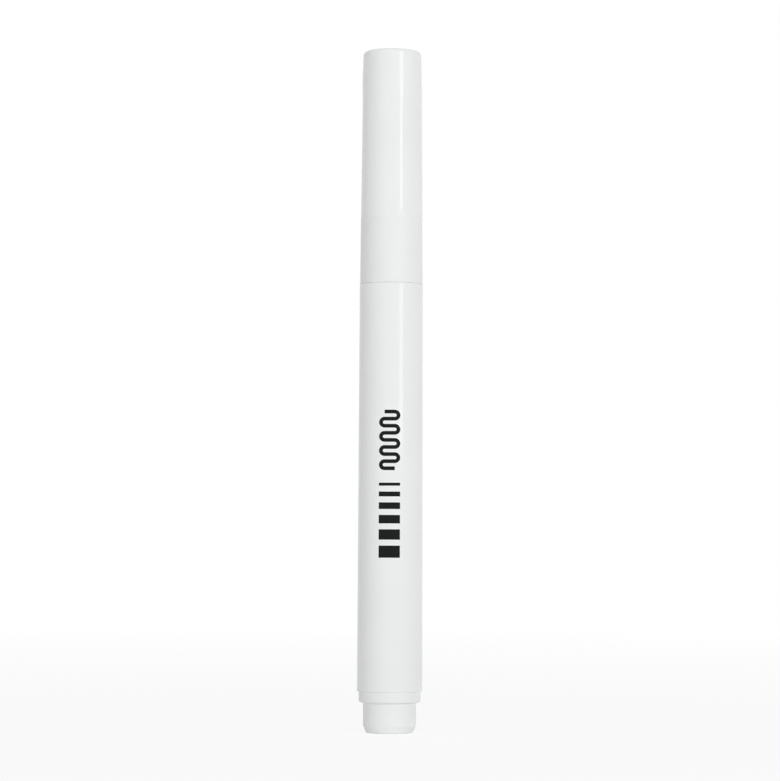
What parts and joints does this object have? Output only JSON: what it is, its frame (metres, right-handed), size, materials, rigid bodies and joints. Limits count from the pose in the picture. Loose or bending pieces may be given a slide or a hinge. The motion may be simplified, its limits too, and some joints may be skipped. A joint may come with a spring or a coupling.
{
  "type": "liquid chalk marker pen",
  "caption": "Slim capped marker for liquid chalk: drafted white barrel, push-on cap with shallow grip panels, sprung valve behind a round fibre nib, and a tail boss for posting the cap.",
  "frame": {"origin": "centre of the flat end of the tail boss, which the pen stands on", "axes": "+Z along the pen's axis from the tail towards the cap's closed end; -Y is the printed front"},
  "size_m": [0.013, 0.013, 0.136],
  "materials": {
    "cap_plastic": "moulded polypropylene, glossy above and satin on the plain band",
    "barrel_plastic": "moulded polypropylene, semi-gloss",
    "print_ink": "black pad-printed ink, a wavy stroke and bars",
    "plug_plastic": "moulded polypropylene, satin",
    "section_plastic": "moulded polypropylene, satin",
    "liner_plastic": "soft moulded polyethylene",
    "valve_plastic": "natural acetal",
    "nib_fibre": "bonded fibre rod, ground to a round point",
    "seat_rubber": "moulded rubber ring",
    "spring_steel": "drawn stainless wire",
    "ball_steel": "polished stainless steel"
  },
  "bodies": {
    "barrel": {"barrel": "barrel_plastic", "front_section": "section_plastic", "valve_seat": "seat_rubber", "valve_housing": "valve_plastic", "valve_spring": "spring_steel", "tail_plug": "plug_plastic"},
    "cap": {"cap": "cap_plastic", "cap_liner": "liner_plastic"},
    "nib": {"nib": "nib_fibre", "valve_stem": "valve_plastic"},
    "ball": {"mixing_ball": "ball_steel"}
  },
  "joints": [
    {"name": "cap_pull", "type": "slide", "parent": "barrel", "child": "cap", "axis": [0, 0, 1], "range_m": [0, 0.04]},
    {"name": "nib_press", "type": "slide", "parent": "barrel", "child": "nib", "axis": [0, 0, -1], "range_m": [0, 0.0015], "stiffness_N_per_m": 500, "springref_m": -0.0012, "deforming": ["valve_spring"]},
    {"name": "ball_shake", "type": "slide", "parent": "barrel", "child": "ball", "axis": [0, 0, 1], "range_m": [0, 0.0625]}
  ]
}
